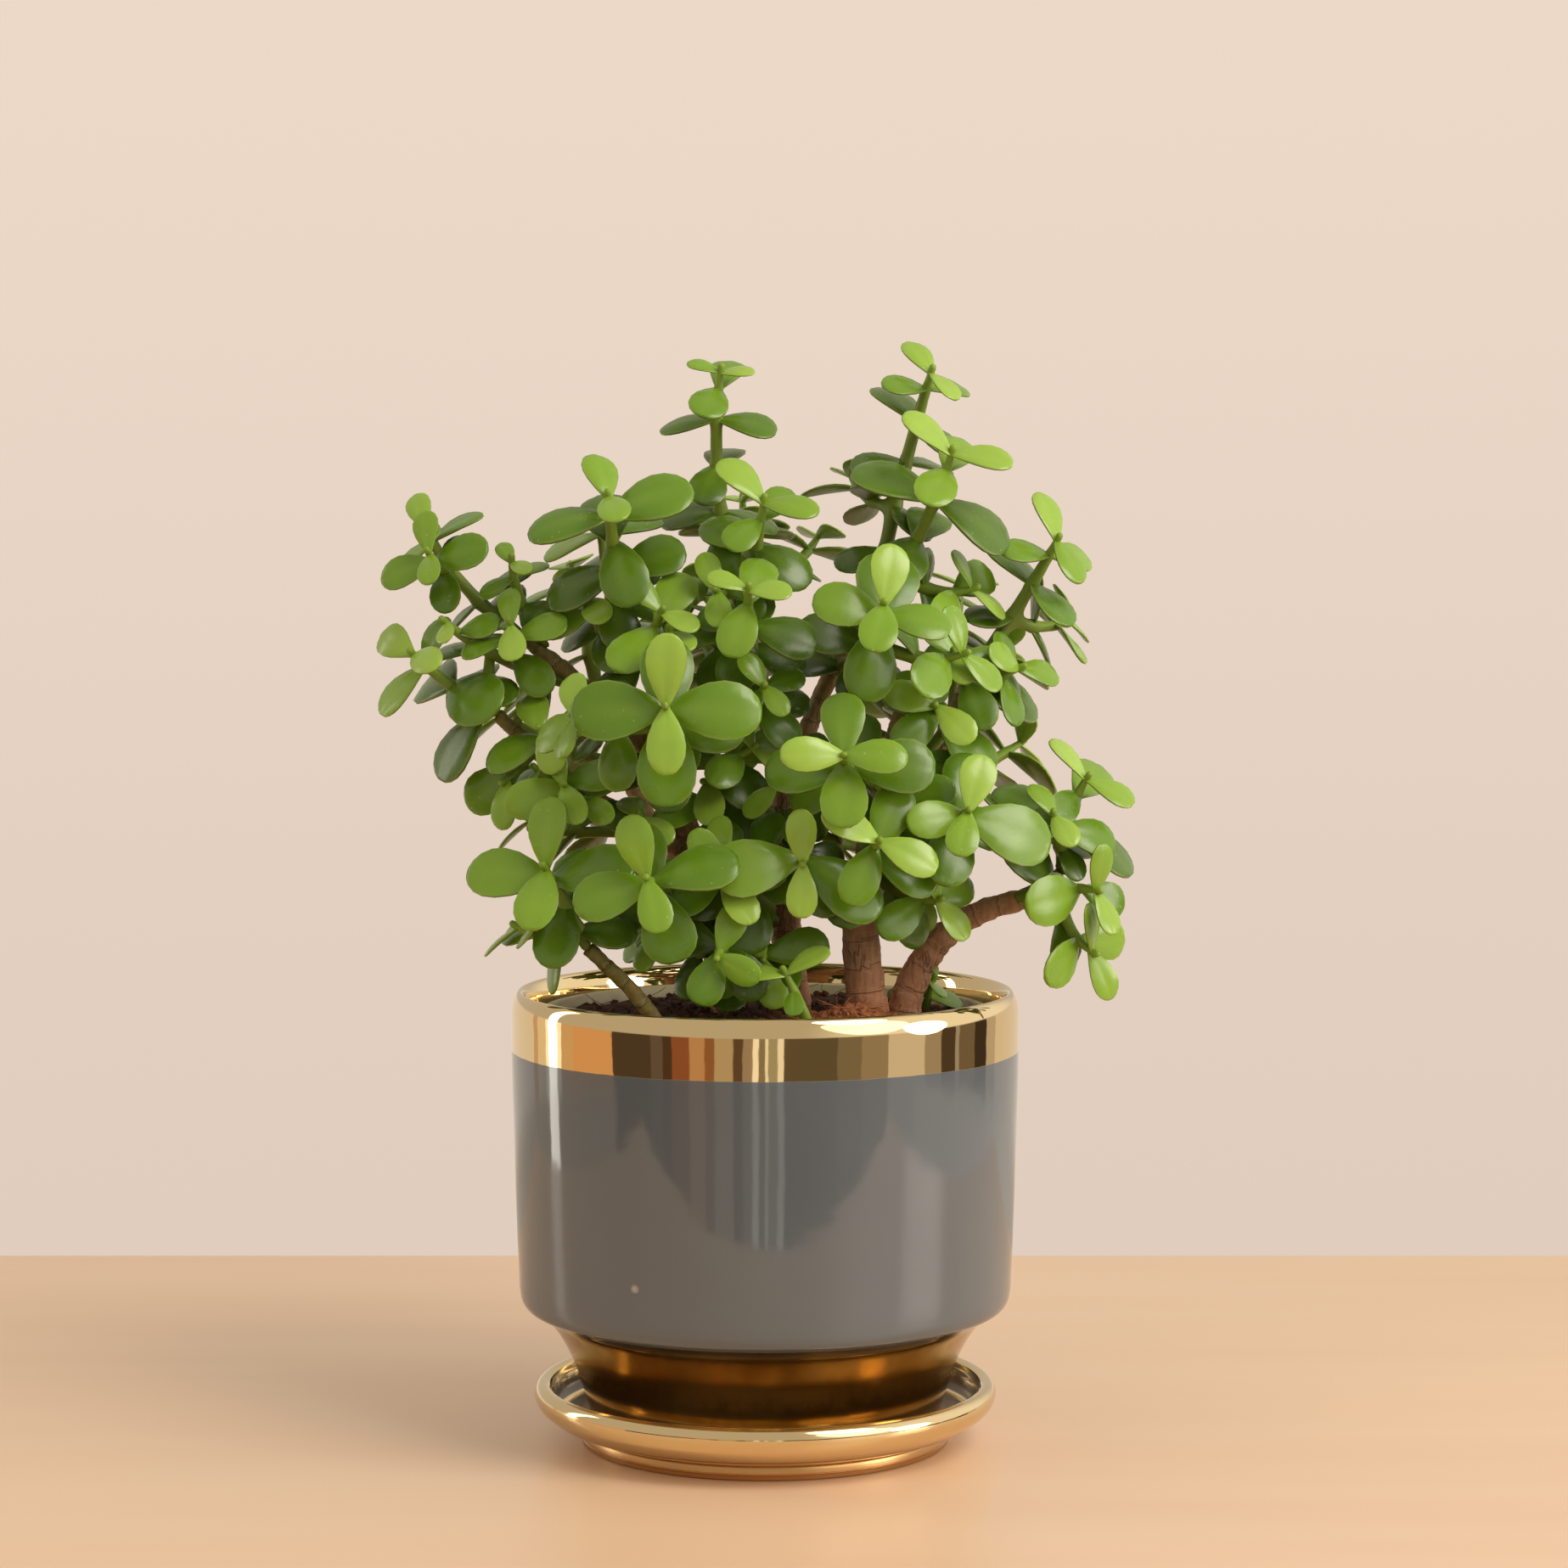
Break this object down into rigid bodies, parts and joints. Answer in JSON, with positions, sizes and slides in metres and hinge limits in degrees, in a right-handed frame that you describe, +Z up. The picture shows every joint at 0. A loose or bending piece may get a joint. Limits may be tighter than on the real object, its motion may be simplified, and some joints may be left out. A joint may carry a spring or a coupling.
{
  "type": "potted jade plant",
  "caption": "Small-leaved jade plant on branching woody stems, in a round glazed pot with a lustre rim and foot, standing on a matching saucer.",
  "frame": {"origin": "middle of the saucer's flat underside, on the surface it stands on", "axes": "+Z up along the pot's axis; -Y towards the plant's front; +X to the right when seen from the front"},
  "size_m": [0.195, 0.1481, 0.2834],
  "materials": {
    "saucer_glaze": "gloss lustre",
    "pot_glaze": "gloss",
    "nursery_plastic": "matte",
    "soil": "rough",
    "bark": "rough",
    "foliage": "waxy",
    "stone_chip": "matte"
  },
  "bodies": {
    "root": {"back_left": "foliage", "back_left_low": "foliage", "back_left_top": "foliage", "back_low": "foliage", "back_middle": "foliage", "back_right": "foliage", "back_right_low": "foliage", "back_right_top": "foliage", "back_top": "foliage", "branch_back": "bark", "branch_back_left": "bark", "branch_back_right": "bark", "branch_centre": "bark", "branch_left": "bark", "branch_left_low": "bark", "branch_right": "bark", "leader_far_left": "foliage", "leader_far_right": "foliage", "leader_left": "foliage", "leader_right": "foliage", "nursery_pot": "nursery_plastic", "pot": "pot_glaze", "saucer": "saucer_glaze", "shoot_centre_inner": "foliage", "shoot_centre_top": "foliage", "shoot_far_right": "foliage", "shoot_front_left": "foliage", "shoot_front_low": "foliage", "shoot_front_right": "foliage", "shoot_hanging": "foliage", "shoot_high_front": "foliage", "shoot_left_dark": "foliage", "shoot_left_droop": "foliage", "shoot_left_inner": "foliage", "shoot_left_low_inner": "foliage", "shoot_left_middle": "foliage", "shoot_left_side": "foliage", "shoot_left_small": "foliage", "shoot_left_tip": "foliage", "shoot_left_top": "foliage", "shoot_low_centre": "foliage", "shoot_low_inner": "foliage", "shoot_low_left": "foliage", "shoot_middle": "foliage", "shoot_middle_top": "foliage", "shoot_right_front": "foliage", "shoot_right_inner": "foliage", "shoot_right_side": "foliage", "shoot_right_tip": "foliage", "shoot_right_top": "foliage", "shoot_rim_front": "foliage", "soil": "soil", "sprout_front": "foliage", "sprout_right": "foliage", "stem_left_front": "bark", "stem_right_low": "bark", "stone_chip": "stone_chip", "trunk_centre": "bark", "trunk_left": "bark", "trunk_right": "bark"}
  },
  "joints": []
}
